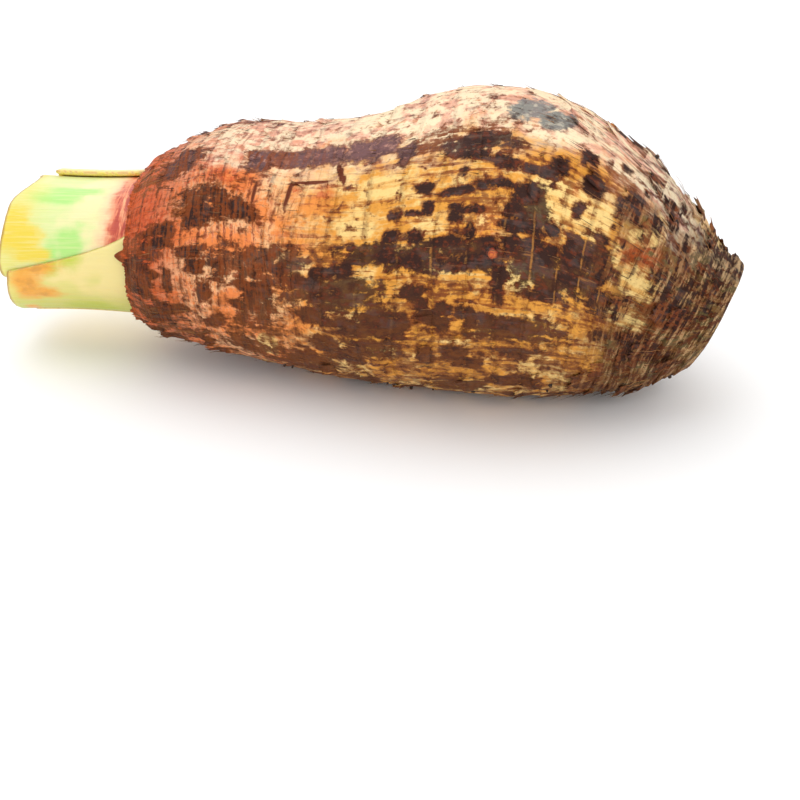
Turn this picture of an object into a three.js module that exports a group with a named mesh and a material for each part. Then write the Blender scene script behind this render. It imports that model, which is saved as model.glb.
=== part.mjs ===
// A whole taro root lying on its belly, with the trimmed bases of its leaf stalks still on the crown.
// Millimetres, +Z up. The stalks point along -X and the cut tail along +X. The origin is under the middle
// of the whole root, on the surface that it lies on.
import * as THREE from "three";

// Driving dimensions
const CORM_LENGTH = 231; // from the collar, where the stalks grow, to the middle of the cut tail
const BELLY = 60.5; // half the height of the corm at its thickest
const COLLAR_X = -90.8; // where the collar stands along the root
const STALK_LENGTH = 57.5; // how far the trimmed stalks stand out of the collar
const STALK_RADIUS = 30.7; // round the bundle of stalks
const WIDER = 1.03; // the corm is this much wider than it is high
const FIT_GAP = 0.6; // between pieces that touch

// The corm's form at places along it: where, half its height and the height of its middle, both as
// shares of the belly, and how far its leaf-scar rings lean, as x gained for each mm of height.
const GIRTHS = [
  { at: 0, half: 0.555, middle: 0.772, lean: 0 },
  { at: 0.031, half: 0.63, middle: 0.802, lean: 0 },
  { at: 0.083, half: 0.7, middle: 0.84, lean: 0 },
  { at: 0.152, half: 0.777, middle: 0.872, lean: 0 },
  { at: 0.29, half: 0.823, middle: 0.856, lean: 0 },
  { at: 0.419, half: 0.889, middle: 0.879, lean: 0 },
  { at: 0.528, half: 0.959, middle: 0.943, lean: 0 },
  { at: 0.646, half: 1, middle: 0.983, lean: 0.03 },
  { at: 0.732, half: 0.955, middle: 0.952, lean: 0.1 },
  { at: 0.81, half: 0.83, middle: 0.843, lean: 0.2 },
  { at: 0.87, half: 0.686, middle: 0.727, lean: 0.31 },
  { at: 0.932, half: 0.529, middle: 0.608, lean: 0.4 },
  { at: 1, half: 0.36, middle: 0.58, lean: 0.46 },
];

// The leaf-scar rings: close together at the neck and the tail, further apart on the belly.
const RING_SPACING = { ends: 5.4, belly: 8.6, spread: 48 };
const RING_HEIGHT = { belly: 0.5, neck: 0.9, tail: 1.1 }; // of the husk's free edge above the skin
const RING_ROWS = [0, 0.42, 0.92]; // rows of the mesh within one ring, from its free edge
const AROUND = 52; // facets round the corm
const TAIL_DISH = { rim: 0.84, depth: 1.4 }; // the cut tail is a shallow dish inside its skin
const LIP = { out: 1.6, turn: 1.25, width: 0.75 }; // the skin that stands out at the tail's upper edge
const BUD = { height: 1.7, width: 5.5, turn: 2.4, first: 0.35 }; // on every second ring, in a spiral

const bump = (x) => Math.exp(-0.5 * x * x);
const between = (x, low, high) => THREE.MathUtils.smoothstep(x, low, high);
const turnFrom = (angle, middle) => Math.atan2(Math.sin(angle - middle), Math.cos(angle - middle));

// A smooth curve through the girths: the value of one of their fields at a share of the length.
function along(share, field) {
  const last = GIRTHS.length - 1;
  let i = 0;
  while (i < last - 1 && share > GIRTHS[i + 1].at) {
    i += 1;
  }
  const slope = (n) => {
    const a = GIRTHS[Math.max(n - 1, 0)];
    const b = GIRTHS[Math.min(n + 1, last)];
    return (b[field] - a[field]) / (b.at - a.at);
  };
  const span = GIRTHS[i + 1].at - GIRTHS[i].at;
  const t = THREE.MathUtils.clamp((share - GIRTHS[i].at) / span, 0, 1);
  const [before, after] = [GIRTHS[i][field], GIRTHS[i + 1][field]];
  const ends = before + (3 * t ** 2 - 2 * t ** 3) * (after - before);
  return ends + span * ((t ** 3 - 2 * t ** 2 + t) * slope(i) + (t ** 3 - t ** 2) * slope(i + 1));
}

// Where each ring's free edge lies, as a distance from the collar.
function ringEdges() {
  const edges = [0];
  while (edges.at(-1) < CORM_LENGTH) {
    const fromMiddle = (edges.at(-1) - 0.45 * CORM_LENGTH) / RING_SPACING.spread;
    edges.push(edges.at(-1) + RING_SPACING.ends + RING_SPACING.belly * bump(fromMiddle));
  }
  edges[edges.length - 1] = CORM_LENGTH;
  return edges;
}
const EDGES = ringEdges();

// How far the husk stands above the smooth skin: each ring's edge, the buds, the long swellings and
// the lip at the tail.
function relief(ring, part, distance, angle) {
  const neck = 1 - between(distance, 11, 66);
  const tail = between(distance, 179, 219);
  const ends = between(distance, 0, 9);
  const clearOfGround = 1 - bump(turnFrom(angle, -Math.PI / 2) / 0.6);
  const height = RING_HEIGHT.belly + RING_HEIGHT.neck * neck + RING_HEIGHT.tail * tail;
  const torn = 0.62 + 0.38 * Math.sin(2 * angle + 1.9 * ring) * Math.sin(3 * angle - 0.7 * ring + 1);
  const edge = ends * height * torn * (1 - part) ** 1.3;
  const across = (turnFrom(angle, BUD.first + BUD.turn * ring) * BELLY) / BUD.width;
  const lengthwise = ((part - 0.4) * (EDGES[ring + 1] - EDGES[ring])) / BUD.width;
  const bud = ends * BUD.height * bump(across) * bump(1.4 * lengthwise) * (ring % 2);
  const swelling =
    1.1 * Math.sin(2 * angle + 0.031 * distance + 0.88) +
    0.8 * Math.sin(3 * angle - 0.047 * distance + 1.68) +
    0.5 * Math.sin(5 * angle + 0.083 * distance + 0.75);
  const lipShare = bump(turnFrom(angle, LIP.turn) / LIP.width);
  const lip = LIP.out * lipShare * between(distance, CORM_LENGTH - 6, CORM_LENGTH);
  return edge + lip + clearOfGround * (bud + ends * swelling);
}

// The rings aren't quite flat: they wander along the root by a millimetre or two.
function wander(distance, angle) {
  const free = between(distance, 2, 30) * (1 - between(distance, CORM_LENGTH - 25, CORM_LENGTH - 2));
  const long = 1.3 * Math.sin(2 * angle + 0.05 * distance + 0.45);
  return free * (long + 0.8 * Math.sin(5 * angle + 0.11 * distance + 1));
}

// A point of the skin. Its shrink is 1 on the surface and less inside a cut face, which lies sunk
// below its rim.
function skinPoint(ring, part, angle, shrink = 1, sunk = 0) {
  const distance = THREE.MathUtils.lerp(EDGES[ring], EDGES[ring + 1], part);
  const share = distance / CORM_LENGTH;
  const half = BELLY * along(share, "half") + relief(ring, part, distance, angle);
  const up = shrink * half * Math.sin(angle);
  return new THREE.Vector3(
    COLLAR_X + distance - sunk + along(share, "lean") * up + wander(distance, angle),
    -shrink * half * WIDER * Math.cos(angle),
    Math.max(BELLY * along(share, "middle") + up, 0),
  );
}

// A closed mesh through closed loops of points, all of one length, that follow each other towards +X. Each
// end is closed by its cap: triangles, as indices into one loop.
function loft(loops, startCap, endCap) {
  const n = loops[0].length;
  const index = [];
  for (let row = 0; row < loops.length - 1; row += 1) {
    for (let i = 0; i < n; i += 1) {
      const [a, b] = [row * n + i, row * n + ((i + 1) % n)];
      index.push(a, a + n, b, b, a + n, b + n);
    }
  }
  const last = (loops.length - 1) * n;
  for (const [a, b, c] of startCap) {
    index.push(a, b, c);
  }
  for (const [a, b, c] of endCap) {
    index.push(last + a, last + c, last + b);
  }
  const geometry = new THREE.BufferGeometry().setFromPoints(loops.flat());
  geometry.setIndex(index);
  geometry.computeVertexNormals();
  return geometry;
}

// The cap of a plain round loop: a fan from its first point.
function fanCap(n) {
  return Array.from({ length: n - 2 }, (_, i) => [0, i + 1, i + 2]);
}

// The cap of a crescent loop, whose second half runs back along the inside of its first half.
function crescentCap(n) {
  const cap = [];
  for (let i = 0; i < n / 2 - 1; i += 1) {
    cap.push([i, i + 1, n - 1 - i], [i + 1, n - 2 - i, n - 1 - i]);
  }
  return cap;
}

function cormGeometry() {
  const turns = Array.from({ length: AROUND }, (_, i) => (2 * Math.PI * i) / AROUND);
  const loops = [];
  for (let ring = 0; ring < EDGES.length - 1; ring += 1) {
    for (const part of RING_ROWS) {
      loops.push(turns.map((angle) => skinPoint(ring, part, angle)));
    }
  }
  const tail = EDGES.length - 2;
  loops.push(turns.map((angle) => skinPoint(tail, 1, angle)));
  loops.push(turns.map((angle) => skinPoint(tail, 1, angle, TAIL_DISH.rim, TAIL_DISH.depth)));
  return loft(loops, fanCap(AROUND), fanCap(AROUND));
}

// The leaf stalks, from the outermost to the innermost. Each is a crescent round the next: where its rib
// is, how far it reaches to each side of that at the collar and at the cut, both in degrees with 0 towards
// -Y and 90 up, and how thick its rib is. Its cut is short of the longest one, slants by so much for each mm
// that it lies higher, and is trimmed off round at the top.
const STALKS = [
  { name: "back_stalk", rib: 190, reach: [92, 92], thick: 3, short: 6.5, slant: 0.1, round: 5 },
  { name: "lower_stalk", rib: -75, reach: [106, 70], thick: 12, short: 4.5, slant: 0.2, round: 0 },
  { name: "upper_stalk", rib: 100, reach: [120, 112], thick: 9, short: 0, slant: 0.1, round: 10 },
  { name: "inner_stalk", rib: -60, reach: [125, 125], thick: 5, short: 7, slant: 0.1, round: 0 },
  { name: "heart_stalk", short: 8, slant: 0, round: 0 },
];
const STALK_COLOURS = [0xd9c65a, 0xeaf0b8, 0xd8ec8c, 0xd2ef9c, 0xc4e88c];
const STALK_EDGE = 0.9; // how thick a stalk's margin is
const STALK_ROWS = 7;
const STALK_STEPS = 34; // facets across a crescent
const HEART_FACETS = 36;
const CUT_ROUND = { from: 22, to: 29 }; // heights above the bundle's middle between which cuts are trimmed
const BUNDLE_DROP = 3.5; // how much lower the bundle's middle is at the cut than at the collar

// A station is a share of the longest stalk's length, from the collar.
function reachAt(stalk, station) {
  return THREE.MathUtils.degToRad(THREE.MathUtils.lerp(...stalk.reach, station ** 0.65));
}

// How much of its thickness a stalk has at an angle: 1 on its rib, 0 from its margins on.
function fullness(stalk, angle, station) {
  const from = turnFrom(angle, THREE.MathUtils.degToRad(stalk.rib)) / reachAt(stalk, station);
  return Math.max(0, 1 - from * from) ** 1.5;
}

// The outside radius of a stalk, or of the heart, under all the stalks that lie outside it.
function outsideOf(layer, angle, station) {
  const round = STALK_RADIUS + 0.6 * Math.sin(2 * angle + 1) + 0.4 * Math.sin(3 * angle + 2.5 * station);
  let radius = 1 + round * (1 - 0.03 * Math.sin(Math.PI * station));
  for (const stalk of STALKS.slice(0, layer)) {
    radius -= STALK_EDGE + stalk.thick * fullness(stalk, angle, station) + FIT_GAP;
  }
  return radius;
}

// The station of a point at an angle, at a share of the way from the collar to the stalk's own cut.
function stationOf(layer, angle, share) {
  const stalk = STALKS[layer];
  const up = outsideOf(layer, angle, 0.5) * Math.sin(angle);
  const high = THREE.MathUtils.clamp((up - CUT_ROUND.from) / (CUT_ROUND.to - CUT_ROUND.from), 0, 1);
  return share * (1 - (stalk.short + stalk.slant * up + stalk.round * high ** 2) / STALK_LENGTH);
}

function stalkPoint(angle, radius, station) {
  return new THREE.Vector3(
    COLLAR_X - FIT_GAP - station * STALK_LENGTH,
    -radius * Math.cos(angle),
    BELLY * GIRTHS[0].middle - BUNDLE_DROP * station + radius * Math.sin(angle),
  );
}

function stalkGeometry(layer) {
  const stalk = STALKS[layer];
  const rib = THREE.MathUtils.degToRad(stalk.rib);
  const loops = [];
  for (let row = 0; row <= STALK_ROWS; row += 1) {
    const share = 1 - row / STALK_ROWS;
    const outside = [];
    const inside = [];
    for (let i = 0; i <= STALK_STEPS; i += 1) {
      const across = (2 * i) / STALK_STEPS - 1;
      const nearly = rib + reachAt(stalk, share) * across;
      const angle = rib + reachAt(stalk, stationOf(layer, nearly, share)) * across;
      const station = stationOf(layer, angle, share);
      const outer = outsideOf(layer, angle, station);
      const inner = outer - STALK_EDGE - stalk.thick * fullness(stalk, angle, station);
      outside.push(stalkPoint(angle, outer, station));
      inside.unshift(stalkPoint(angle, inner, station));
    }
    loops.push([...outside, ...inside]);
  }
  const cap = crescentCap(loops[0].length);
  return loft(loops, cap, cap);
}

function heartGeometry(layer) {
  const turns = Array.from({ length: HEART_FACETS }, (_, i) => (2 * Math.PI * i) / HEART_FACETS);
  const loops = [];
  for (let row = 0; row <= STALK_ROWS; row += 1) {
    const point = (angle) => {
      const station = stationOf(layer, angle, 1 - row / STALK_ROWS);
      return stalkPoint(angle, outsideOf(layer, angle, station), station);
    };
    loops.push(turns.map(point));
  }
  return loft(loops, fanCap(HEART_FACETS), fanCap(HEART_FACETS));
}

function piece(name, geometry, colour, roughness) {
  const material = new THREE.MeshStandardMaterial({ color: colour, roughness, metalness: 0 });
  const mesh = new THREE.Mesh(geometry, material);
  mesh.name = name;
  return mesh;
}

const taro = new THREE.Group();
taro.add(piece("corm", cormGeometry(), 0x9a6a3c, 0.8));
STALKS.forEach((stalk, layer) => {
  const geometry = stalk.reach ? stalkGeometry(layer) : heartGeometry(layer);
  taro.add(piece(stalk.name, geometry, STALK_COLOURS[layer], 0.5));
});

export default taro;
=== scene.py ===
# A whole taro root: a ringed brown corm with its trimmed leaf stalks, lying on a pale table.
# Everything is in metres in the frame's own axes. Sizes in the dictionaries are in millimetres.
import math
import bmesh
import bpy
import numpy as np
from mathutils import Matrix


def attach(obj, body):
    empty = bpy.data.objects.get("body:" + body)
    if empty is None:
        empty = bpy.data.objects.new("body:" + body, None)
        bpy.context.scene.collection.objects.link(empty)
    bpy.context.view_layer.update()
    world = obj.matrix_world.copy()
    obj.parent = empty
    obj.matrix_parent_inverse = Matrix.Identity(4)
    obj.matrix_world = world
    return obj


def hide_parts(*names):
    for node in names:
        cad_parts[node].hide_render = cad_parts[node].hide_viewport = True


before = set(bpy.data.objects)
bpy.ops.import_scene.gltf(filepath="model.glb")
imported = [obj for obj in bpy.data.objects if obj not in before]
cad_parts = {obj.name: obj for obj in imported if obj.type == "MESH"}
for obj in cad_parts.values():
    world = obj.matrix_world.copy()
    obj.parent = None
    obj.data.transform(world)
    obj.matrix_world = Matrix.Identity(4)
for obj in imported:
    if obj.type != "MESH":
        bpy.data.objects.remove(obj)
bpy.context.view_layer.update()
mm = 0.001
pi = math.pi


# Numbers as whole arrays

def between(x, low, high):
    # 0 below low, 1 above high, and a smooth S between them
    t = np.clip((x - low) / (high - low), 0, 1)
    return t * t * (3 - 2 * t)


def bump(x):
    # a bell: 1 at 0, e to the minus half of x squared
    return np.exp(-0.5 * x * x)


def turnFrom(angle, middle):
    # the angle from middle, from -pi to pi
    return np.arctan2(np.sin(angle - middle), np.cos(angle - middle))


def waves(rows, angle, along):
    # a sum of sines that closes round the root: each row is (times round, per mm along, start, height)
    return sum(high * np.sin(times * angle + per * along + start) for times, per, start, high in rows)


def ripple(angle, along, rows, seed):
    # the same with starts at random: each row is (times round, per mm along, height)
    starts = np.random.default_rng(seed).uniform(0, 2 * pi, len(rows))
    return waves([(times, per, start, high) for (times, per, high), start in zip(rows, starts)], angle, along)


# Meshes from grids of points

def gridFaces(rows, columns, around):
    # quads between the rows; with around, the last column meets the first again
    spans = columns if around else columns - 1
    row, column = np.meshgrid(np.arange(rows - 1), np.arange(spans), indexing="ij")
    nextColumn = (column + 1) % columns
    quads = np.stack([row * columns + column, (row + 1) * columns + column,
                      (row + 1) * columns + nextColumn, row * columns + nextColumn], -1)
    return quads.reshape(-1, 4)


def closedFaces(rows, columns):
    # a grid that closes round, and triangles from its first and its last row to a pole each
    column = np.arange(columns)
    after = (column + 1) % columns
    bottom = (rows - 1) * columns
    poles = np.full(columns, rows * columns)
    starts = np.stack([poles, column, after], -1)
    ends = np.stack([poles + 1, bottom + after, bottom + column], -1)
    return gridFaces(rows, columns, True).tolist() + starts.tolist() + ends.tolist()


def addPoles(points, fields):
    # the two poles: the middle of the first row and of the last, with the fields of a point beside them
    poles = np.stack([points[0].mean(0), points[-1].mean(0)])
    fields = {name: np.concatenate([values, values[:1], values[-1:]]) for name, values in fields.items()}
    return np.concatenate([points.reshape(-1, 3), poles]), fields


def addObject(name, data):
    # put in the scene's own collection
    made = bpy.data.objects.new(name, data)
    bpy.context.scene.collection.objects.link(made)
    return made


def makePiece(name, points, faces, material, node=None, fields=None):
    # points are in millimetres; fields are numbers or vectors kept at the points for the material
    mesh = bpy.data.meshes.new(name)
    mesh.from_pydata((points * mm).tolist(), [], [list(face) for face in faces])
    mesh.validate()
    for field, values in (fields or {}).items():
        kind, key = ("FLOAT_VECTOR", "vector") if values.ndim == 2 else ("FLOAT", "value")
        mesh.attributes.new(field, kind, "POINT").data.foreach_set(key, values.astype(np.float32).ravel())
    mesh.polygons.foreach_set("use_smooth", [True] * len(mesh.polygons))
    mesh.materials.append(material)
    mesh.update()
    piece = addObject(name, mesh)
    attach(piece, "root")
    if node:
        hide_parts(node)
    return piece


# Materials

def tint(code):
    # a colour as it looks on screen, "#rrggbb", as the shader's own light values
    parts = [int(code[i:i + 2], 16) / 255 for i in (1, 3, 5)]
    return tuple(p / 12.92 if p <= 0.04045 else ((p + 0.055) / 1.055) ** 2.4 for p in parts) + (1.0,)


class Wire:
    # a number on its way through a material: sums on wires add Math nodes
    def __init__(self, recipe, socket):
        self.recipe = recipe
        self.socket = socket

    def maths(self, operation, first, second):
        return self.recipe.node("ShaderNodeMath", {"operation": operation}, {0: first, 1: second})

    def __add__(self, other):
        return self.maths("ADD", self, other)

    def __radd__(self, other):
        return self.maths("ADD", other, self)

    def __sub__(self, other):
        return self.maths("SUBTRACT", self, other)

    def __rsub__(self, other):
        return self.maths("SUBTRACT", other, self)

    def __mul__(self, other):
        return self.maths("MULTIPLY", self, other)

    def __rmul__(self, other):
        return self.maths("MULTIPLY", other, self)

    def __mod__(self, other):
        return self.maths("FLOORED_MODULO", self, other)

    def __abs__(self):
        return self.maths("ABSOLUTE", self, 0.0)


class Recipe:
    # one material, the nodes it is made of and its colours by name
    def __init__(self, name, colours):
        self.colours = {key: tint(code) for key, code in colours.items()}
        self.material = bpy.data.materials.new(name)
        self.material.use_nodes = True
        self.tree = self.material.node_tree
        self.tree.nodes.clear()

    def node(self, kind, settings=None, values=None, output=0):
        # any node: its settings, and a number, colour or wire for each input
        made = self.tree.nodes.new(kind)
        for key, value in (settings or {}).items():
            setattr(made, key, value)
        for key, value in (values or {}).items():
            if isinstance(value, Wire):
                self.tree.links.new(value.socket, made.inputs[key])
            else:
                made.inputs[key].default_value = value
        return Wire(self, made.outputs[output]) if len(made.outputs) else None

    def field(self, name):
        # a number that the mesh keeps at its points
        return self.node("ShaderNodeAttribute", {"attribute_name": name}, output=2)

    def vectorField(self, name):
        # the same for a vector
        return self.node("ShaderNodeAttribute", {"attribute_name": name}, output=1)

    def parts(self, vector):
        # the three numbers of a vector
        made = self.node("ShaderNodeSeparateXYZ", None, {"Vector": vector}).socket.node
        return [Wire(self, socket) for socket in made.outputs]

    def stretch(self, vector, scale, shift=(0, 0, 0)):
        # the vector times scale, and shift added
        return self.node("ShaderNodeMapping", None, {"Vector": vector, "Scale": scale, "Location": shift})

    def grain(self, vector, scale, detail, rough, shift=(0, 0, 0), warp=0.0):
        # noise about 0, with so many grains a millimetre, or a metre where the vector is in metres
        values = {"Vector": self.stretch(vector, scale, shift), "Scale": 1.0, "Detail": detail,
                  "Roughness": rough, "Distortion": warp}
        return self.node("ShaderNodeTexNoise", None, values) - 0.5

    def rise(self, value, low, high, least=0.0, most=1.0):
        # least below low, most above high, and a smooth S between them
        return self.node("ShaderNodeMapRange", {"interpolation_type": "SMOOTHSTEP"},
                         {0: value, 1: low, 2: high, 3: least, 4: most})

    def paint(self, under, over, share):
        # each colour is a wire or a name
        under, over = [self.colours[one] if isinstance(one, str) else one for one in (under, over)]
        return self.node("ShaderNodeMix", {"data_type": "RGBA"}, {0: share, 6: under, 7: over}, output=2)

    def most(self, first, second):
        # the greater of two
        return first.maths("MAXIMUM", first, second)

    def finish(self, colour, roughness, height=None, reach=0.0, **fixed):
        # the shader: height is a share of reach, which is in millimetres
        values = {"Base Color": colour, "Roughness": roughness}
        if height is not None:
            bumps = {"Strength": 1.0, "Distance": reach * mm, "Height": height}
            values["Normal"] = self.node("ShaderNodeBump", None, bumps)
        values.update({key.replace("_", " "): value for key, value in fixed.items()})
        shader = self.node("ShaderNodeBsdfPrincipled", None, values)
        self.node("ShaderNodeOutputMaterial", None, {"Surface": shader})
        return self.material


# The corm's form, as in the solid

corm = {
    "length": 231.0,  # from the collar to the middle of the cut tail
    "belly": 60.5,  # half the height at the thickest
    "collarX": -90.8,
    "wider": 1.03,
    "ringEnds": 5.4, "ringBelly": 8.6, "ringSpread": 48.0,  # from ring to ring
    "edgeBelly": 0.5, "edgeNeck": 0.9, "edgeTail": 1.1,  # free edge of the husk above the skin
    "neckSpan": (11, 66), "tailSpan": (179, 219),  # where the neck fades out and the tail fades in
    "budHigh": 1.7, "budSize": 5.5,
    "budTurn": 2.4, "budStart": 0.35,  # each bud's turn from the last, in radians
    "lip": 1.6,  # the upper edge of the cut tail
    # times round, per millimetre along, start, height
    "swellings": [(2, 0.031, 0.88, 1.1), (3, -0.047, 1.68, 0.8), (5, 0.083, 0.75, 0.5)],
    "drifts": [(2, 0.05, 0.45, 1.3), (5, 0.11, 1, 0.8)],
    "around": 300,  # points round each row
    "parts": (0, 0.03, 0.08, 0.16, 0.27, 0.39, 0.52, 0.65, 0.78, 0.88, 0.965),  # rows in each ring
    "collarShrinks": (0.1, 0.5, 0.9, 0.985),  # rows that close the collar
    "cutShrinks": (1.0, 0.985, 0.95, 0.9, 0.84, 0.7, 0.55, 0.4, 0.25, 0.1),  # rows that close the cut tail
    "cutSunk": 1.5, "sawn": 0.12,  # how deep the cut lies, and the saw's marks on it
    "unrolled": 50,  # radius of the cylinder that the material sees
}
# where along the length, half the height, height of the middle, and how far the rings lean
girths = np.array([
    (0, 0.555, 0.772, 0), (0.031, 0.63, 0.802, 0), (0.083, 0.7, 0.84, 0), (0.152, 0.777, 0.872, 0),
    (0.29, 0.823, 0.856, 0), (0.419, 0.889, 0.879, 0), (0.528, 0.959, 0.943, 0), (0.646, 1.0, 0.983, 0.03),
    (0.732, 0.955, 0.952, 0.1), (0.81, 0.83, 0.843, 0.2), (0.87, 0.686, 0.727, 0.31),
    (0.932, 0.529, 0.608, 0.4), (1, 0.36, 0.58, 0.46),
])


def along(share, column):
    # a smooth curve through one column of the girths: a cubic in each span, with shared slopes at the places
    at, value = girths[:, 0], girths[:, column]
    last = len(at) - 1
    before = np.maximum(np.arange(last + 1) - 1, 0)
    after = np.minimum(np.arange(last + 1) + 1, last)
    slope = (value[after] - value[before]) / (at[after] - at[before])
    i = np.clip(np.searchsorted(at, share, side="left") - 1, 0, last - 1)
    span = at[i + 1] - at[i]
    t = np.clip((share - at[i]) / span, 0, 1)
    return ((2 * t**3 - 3 * t**2 + 1) * value[i] + (3 * t**2 - 2 * t**3) * value[i + 1]
            + span * ((t**3 - 2 * t**2 + t) * slope[i] + (t**3 - t**2) * slope[i + 1]))


def ringEdges():
    # each ring's length is a bell over the belly on top of the least length
    edges = [0.0]
    while edges[-1] < corm["length"]:
        fromMiddle = (edges[-1] - 0.45 * corm["length"]) / corm["ringSpread"]
        edges.append(edges[-1] + corm["ringEnds"] + corm["ringBelly"] * math.exp(-0.5 * fromMiddle**2))
    edges[-1] = corm["length"]
    return np.array(edges)


edges = ringEdges()
rings = len(edges) - 1


def relief(ring, part, distance, angle):
    # the husk above the smooth skin: each ring's free edge, buds, long swellings and the tail's lip
    neck = 1 - between(distance, *corm["neckSpan"])
    tail = between(distance, *corm["tailSpan"])
    ends = between(distance, 0, 9)
    clearOfGround = 1 - bump(turnFrom(angle, -pi / 2) / 0.6)
    height = corm["edgeBelly"] + corm["edgeNeck"] * neck + corm["edgeTail"] * tail
    torn = 0.62 + 0.38 * np.sin(2 * angle + 1.9 * ring) * np.sin(3 * angle - 0.7 * ring + 1)
    edge = ends * height * torn * np.clip(1 - part, 0, None) ** 1.3
    across = turnFrom(angle, corm["budStart"] + corm["budTurn"] * ring) * corm["belly"] / corm["budSize"]
    lengthwise = (part - 0.4) * (edges[ring + 1] - edges[ring]) / corm["budSize"]
    buds = ends * corm["budHigh"] * bump(across) * bump(1.4 * lengthwise) * (ring % 2)
    swelling = waves(corm["swellings"], angle, distance)
    atEnd = between(distance, corm["length"] - 6, corm["length"])
    lip = corm["lip"] * bump(turnFrom(angle, 1.25) / 0.75) * atEnd
    return edge + lip + clearOfGround * (buds + ends * swelling)


def wander(distance, angle):
    # the rings drift along the root by a millimetre or two, and less near its ends
    free = between(distance, 2, 30) * (1 - between(distance, corm["length"] - 25, corm["length"] - 2))
    return free * waves(corm["drifts"], angle, distance)


fineWaves = {  # times round, per millimetre along (per ring for the frayed edges), height
    "frayed": [(17, 1.0, 0.16), (31, 2.3, 0.13), (53, 1.7, 0.1), (83, 3.9, 0.07)],
    "bundles": [(41, 0.02, 0.06), (67, -0.03, 0.05), (97, 0.05, 0.045)],
    "dents": [(7, 0.31, 0.12), (11, -0.23, 0.12), (4, 0.4, 0.1), (13, 0.52, 0.08)],
    "ridges": [(3, 3.7, 0.14), (6, 1.4, 0.16), (23, 0.9, 0.1)],
    "ridgeHigh": 0.3, "ridgesFrom": (186, 204), "ridgesTo": (224, 230),  # ridges round the tail
    "tailFrayed": 1.2,  # how much more the edges fray there
}


def fineRelief(ring, part, distance, angle):
    # what the solid leaves out: frayed edges, fibre bundles, dents, and ridges that drift round the tail
    w = fineWaves
    ends = between(distance, 0, 6)
    tail = between(distance, *corm["tailSpan"])
    frayed = ripple(angle, 3.1 * ring, w["frayed"], 5)
    bundles = ripple(angle, distance, w["bundles"], 6)
    dents = ripple(angle, distance, w["dents"], 7)
    ridges = w["ridgeHigh"] * np.sin(2.3 * distance + 2 * np.sin(2 * angle + 1) + 1.2 * np.sin(5 * angle))
    ridges = ridges + ripple(angle, distance, w["ridges"], 8)
    ridges = ridges * between(distance, *w["ridgesFrom"]) * (1 - between(distance, *w["ridgesTo"]))
    return ends * ((1 + w["tailFrayed"] * tail) * frayed * (1 - part) ** 2 + bundles + dents + ridges)


def skinPoint(ring, part, angle, shrink=1.0, sunk=0.0, lift=0.0):
    # rings round a leaning axis: x follows the length, y and z turn about the middle, flat where it rests
    distance = edges[ring] + part * (edges[ring + 1] - edges[ring])
    share = distance / corm["length"]
    half = corm["belly"] * along(share, 1) + relief(ring, part, distance, angle)
    half = half + fineRelief(ring, part, distance, angle) + lift
    up = shrink * half * np.sin(angle)
    x = corm["collarX"] + distance - sunk + along(share, 3) * up + wander(distance, angle)
    y = -shrink * half * corm["wider"] * np.cos(angle)
    z = np.maximum(corm["belly"] * along(share, 2) + up, 0)
    return np.stack([x, y, z], -1)


# Marks on the skin: distance from the collar, turn in degrees, half length, half width, slant in degrees

darkScales = [
    (21, 65, 8.6, 5.6, -20), (55, 63, 5.9, 6.0, 0), (74, 64, 16.4, 4.5, -4), (99, 65, 10.4, 5.4, -4),
    (34, 32, 6.9, 5.0, -10), (48, 36, 10.5, 4.2, 5), (20, 26, 4.8, 3.1, 0), (55, 96, 1.1, 1.6, 0),
    (114, 59, 3.0, 4.7, 0), (140, 62, 5.5, 4.1, 0), (140, 55, 5.6, 2.6, 8), (150, 52, 5.6, 2.8, 15),
    (161, 50, 4.6, 1.9, 8), (167, 54, 2.8, 4.5, 0), (137, 48, 1.5, 2.0, 0), (124, 43, 3.9, 2.0, 0),
    (136, 41, 5.9, 1.7, -6), (147, 43, 6.0, 2.1, -8), (159, 41, 4.3, 3.9, 0), (113, 34, 3.1, 2.5, 0),
    (126, 35, 2.5, 2.8, 0), (120, 34, 3.3, 0.9, 0), (136, 33, 3.3, 3.1, 0), (143, 34, 3.4, 1.8, 0),
    (156, 34, 3.4, 3.2, 0), (159, 29, 6.8, 2.6, 0), (112, 26, 3.3, 2.6, 0), (121, 25, 4.4, 2.7, 0),
    (135, 23, 6.3, 2.3, 0), (142, 26, 1.7, 3.9, 0), (111, 18, 4.6, 2.7, 0), (121, 16, 5.5, 3.0, 0),
    (132, 16, 3.9, 3.0, 0), (142, 16, 6.1, 3.5, 0), (150, 20, 3.8, 5.7, 0), (156, 22, 2.9, 4.2, 0),
    (154, 10, 2.6, 7.9, 0), (122, 4, 4.0, 3.5, 0), (112, -10, 9, 5.5, 0), (133, -8, 4, 4, 0),
    (164, 24, 8.7, 2.2, 0), (168, 21, 2.9, 4.2, 0), (170, 7, 4.8, 2.6, 0), (178, 53, 3.0, 4.7, 0),
    (175, 41, 1.6, 3.6, 0),
    (186, 46, 0.9, 1.0, 0), (186, 41, 1.0, 1.3, 0), (190, 37, 0.9, 1.4, 0), (169, 30, 2.7, 2.8, 0),
    (175, 25, 2.0, 5.8, 0), (180, 26, 2.1, 4.4, 0), (184, 34, 2.1, 3.1, 0), (178, 23, 4.6, 3.0, 0),
    (186, 24, 2.5, 5.4, 0), (177, 15, 4.2, 2.6, 0), (188, 11, 4.1, 5.2, 0), (189, 51, 4.0, 4.9, 0),
    (213, 21, 4.2, 4.3, 0), (175, 63, 2.7, 3.3, 0), (195, 12, 2.4, 6.1, 0), (191, 58, 3.6, 2.8, 0),
    (198, 54, 2.4, 3.6, 0), (202, 64, 2.2, 4.0, 0), (199, 73, 1.8, 3.4, 0), (207, 60, 2.0, 5.0, 0),
    (193, 66, 1.4, 1.8, 0), (186, 70, 1.6, 2.0, 0), (205, 82, 2.0, 3.0, 0), (209, 45, 2.0, 5.0, 0),
]
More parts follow.
